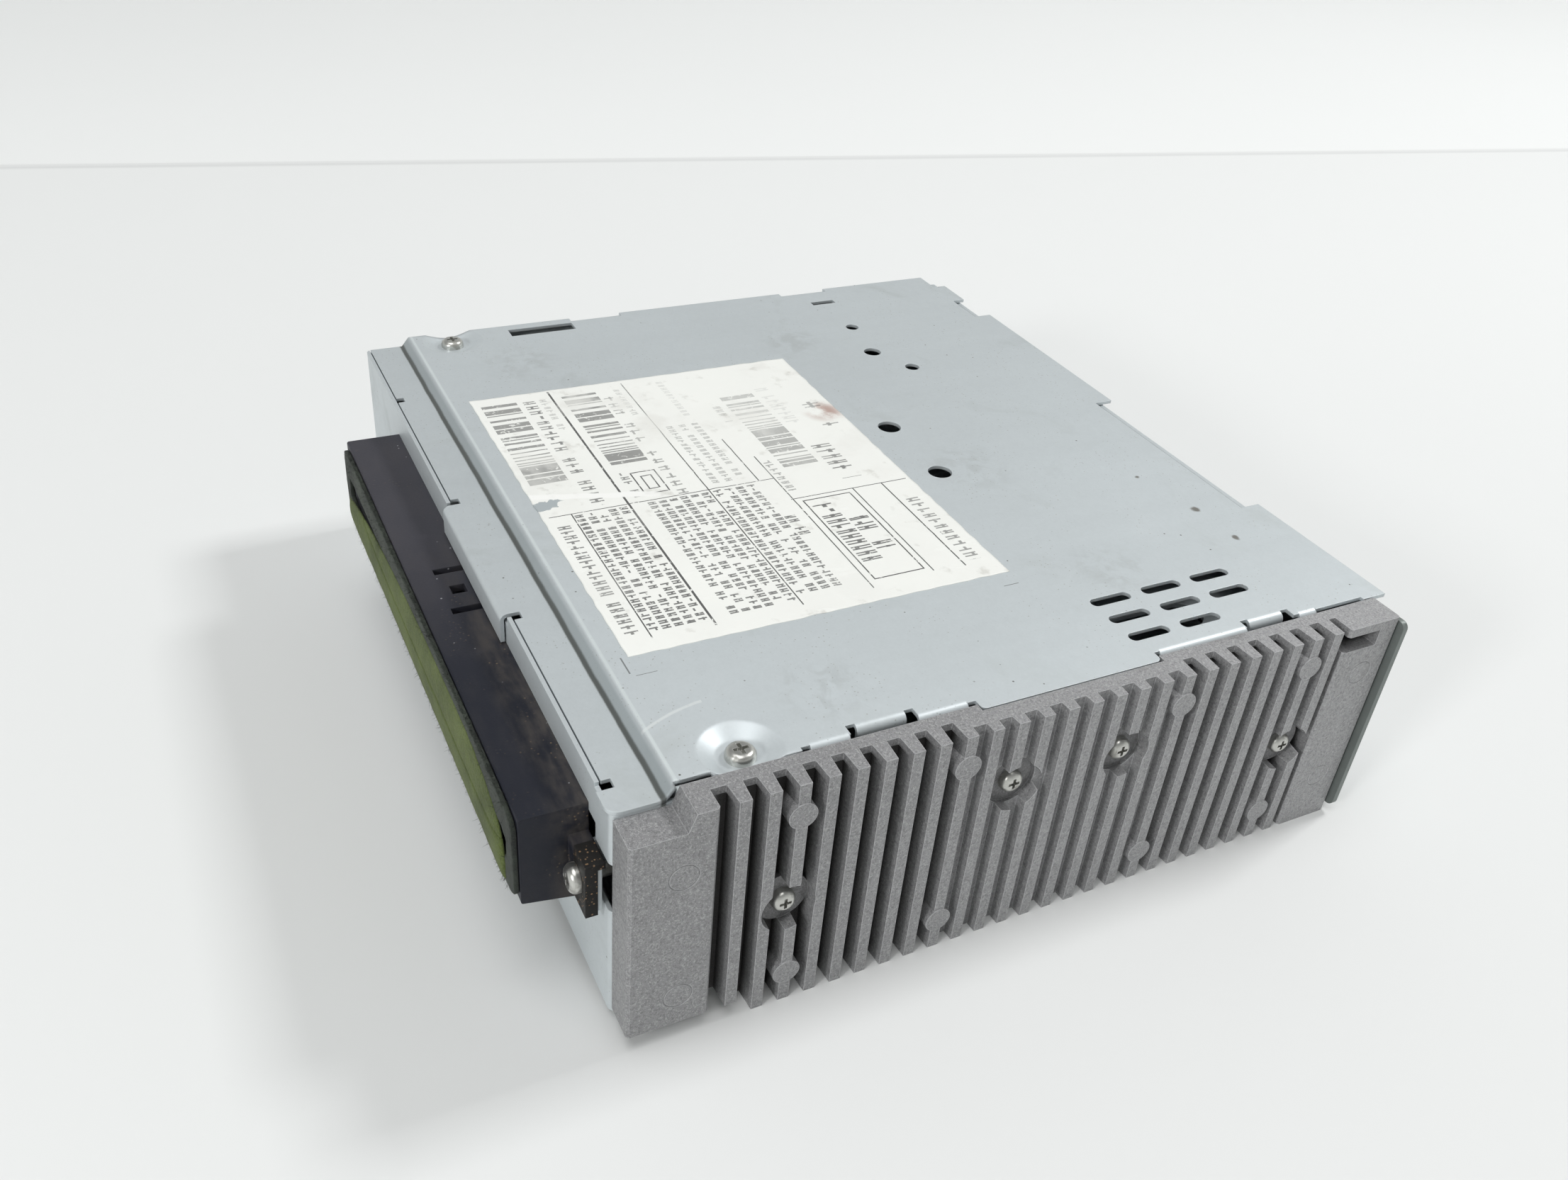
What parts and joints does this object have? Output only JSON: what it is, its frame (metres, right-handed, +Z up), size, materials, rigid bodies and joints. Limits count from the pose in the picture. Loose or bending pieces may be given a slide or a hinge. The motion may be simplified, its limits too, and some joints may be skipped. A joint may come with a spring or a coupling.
{
  "type": "car cd player",
  "caption": "Slot-loading car disc player: pressed steel case, cast heat sink side, black slot bezel with a felt seal, and a disc mechanism inside.",
  "frame": {"origin": "middle of the steel case's underside", "axes": "+X across the front towards the heat sink, +Y from the disc slot towards the rear, +Z up"},
  "size_m": [0.186, 0.1851, 0.0526],
  "materials": {
    "zinc_steel": "zinc plated, satin",
    "cast_aluminium": "as cast, matt",
    "screw_steel": "plated",
    "black_plastic": "moulded, dusty",
    "felt": "fibrous",
    "foam": "open foam",
    "label_paper": "worn white film",
    "board_green": "solder mask",
    "tin": "tinned, bright",
    "capacitor_sleeve": "shrunk sleeve",
    "copper_wire": "enamelled",
    "chip_epoxy": "moulded epoxy",
    "white_plastic": "acetal",
    "flex_film": "polyimide",
    "motor_steel": "drawn can",
    "bright_steel": "ground",
    "brass": "turned",
    "roller_rubber": "matt",
    "damper_rubber": "matt",
    "lens_glass": "polished",
    "pin_gold": "plated"
  },
  "bodies": {
    "case": {"top_cover": "zinc_steel", "bottom_cover": "zinc_steel", "chassis_frame": "zinc_steel", "rear_wall": "zinc_steel", "rear_plate": "zinc_steel", "rear_plate_screws": "screw_steel", "heat_sink": "cast_aluminium", "heat_sink_screws": "screw_steel", "top_cover_screws": "screw_steel", "bottom_cover_screws": "screw_steel", "rating_label": "label_paper", "slot_bezel": "black_plastic", "bezel_screws": "screw_steel", "felt_pad": "felt", "foam_lip": "foam", "bezel_brackets": "zinc_steel", "main_board": "board_green", "board_standoffs": "brass", "board_screws": "screw_steel", "tuner_can": "tin", "bulk_capacitors": "capacitor_sleeve", "choke_coil": "copper_wire", "flat_chips": "chip_epoxy", "amplifier_chip": "chip_epoxy", "amplifier_clamp": "zinc_steel", "rear_connector": "black_plastic", "connector_pins": "pin_gold", "antenna_socket": "tin", "mech_frame": "zinc_steel", "mech_top_plate": "zinc_steel", "disc_guide": "black_plastic", "support_posts": "bright_steel", "rubber_dampers": "damper_rubber", "mech_board": "board_green", "flex_socket": "white_plastic", "flex_cable": "flex_film", "spindle_motor": "motor_steel", "clamp_pin": "bright_steel", "guide_rods": "bright_steel", "sled_motor": "motor_steel", "gear_posts": "bright_steel", "loading_motor": "motor_steel"},
    "turntable": {"turntable": "black_plastic"},
    "clamp_arm": {"clamp_arm": "zinc_steel"},
    "clamp_puck": {"clamp_puck": "white_plastic"},
    "pickup": {"pickup_carriage": "black_plastic", "objective_lens": "lens_glass", "feed_nut": "white_plastic"},
    "lead_screw": {"lead_screw": "bright_steel"},
    "roller_arm": {"roller_arm": "zinc_steel"},
    "roller": {"roller_shaft": "bright_steel", "loading_roller": "roller_rubber", "roller_gear": "white_plastic"},
    "idler": {"idler_gear": "white_plastic"},
    "worm_wheel": {"worm_wheel": "white_plastic"},
    "worm": {"worm": "brass"},
    "left_lever": {"left_disc_lever": "zinc_steel"},
    "right_lever": {"right_disc_lever": "zinc_steel"}
  },
  "joints": [
    {"name": "turntable_spin", "type": "hinge", "parent": "case", "child": "turntable", "pos_m": [0.011, -0.007, 0.03315], "axis": [0, 0, 1], "continuous": true},
    {"name": "clamp_tilt", "type": "hinge", "parent": "case", "child": "clamp_arm", "pos_m": [0.011, 0.067, 0.0415], "axis": [1, 0, 0], "range_deg": [0, 2.6]},
    {"name": "puck_spin", "type": "hinge", "parent": "clamp_arm", "child": "clamp_puck", "pos_m": [0.011, -0.007, 0.04], "axis": [0, 0, 1], "continuous": true},
    {"name": "pickup_slide", "type": "slide", "parent": "case", "child": "pickup", "axis": [0, 1, 0], "range_m": [0, 0.036]},
    {"name": "lead_screw_spin", "type": "hinge", "parent": "case", "child": "lead_screw", "pos_m": [0.0385, 0.029, 0.02475], "axis": [0, 1, 0], "range_deg": [0, 4320]},
    {"name": "roller_lift", "type": "hinge", "parent": "case", "child": "roller_arm", "pos_m": [0.011, -0.045, 0.02225], "axis": [1, 0, 0], "range_deg": [0, 12], "stiffness_Nm_per_rad": 0.02, "springref_deg": -20.05},
    {"name": "roller_spin", "type": "hinge", "parent": "roller_arm", "child": "roller", "pos_m": [0.011, -0.059, 0.02805], "axis": [1, 0, 0], "continuous": true},
    {"name": "idler_spin", "type": "hinge", "parent": "case", "child": "idler", "pos_m": [-0.0618, -0.05483, 0.03812], "axis": [1, 0, 0], "continuous": true},
    {"name": "worm_wheel_spin", "type": "hinge", "parent": "case", "child": "worm_wheel", "pos_m": [-0.0618, -0.04055, 0.0356], "axis": [1, 0, 0], "continuous": true},
    {"name": "worm_spin", "type": "hinge", "parent": "case", "child": "worm", "pos_m": [-0.0618, -0.021, 0.0239], "axis": [0, 1, 0], "continuous": true},
    {"name": "left_lever_swing", "type": "hinge", "parent": "case", "child": "left_lever", "pos_m": [-0.041, -0.023, 0.0449], "axis": [0, 0, 1], "range_deg": [-60, 0]},
    {"name": "right_lever_swing", "type": "hinge", "parent": "case", "child": "right_lever", "pos_m": [0.063, -0.023, 0.0449], "axis": [0, 0, 1], "range_deg": [0, 60]}
  ],
  "couplings": [
    {"joint": "lead_screw_spin", "follows": "pickup_slide", "rad_per_m": 2094.4},
    {"joint": "worm_wheel_spin", "follows": "worm_spin", "ratio": -0.033333},
    {"joint": "idler_spin", "follows": "worm_spin", "ratio": 0.055556},
    {"joint": "roller_spin", "follows": "worm_spin", "ratio": -0.055556},
    {"joint": "right_lever_swing", "follows": "left_lever_swing", "ratio": -1}
  ]
}
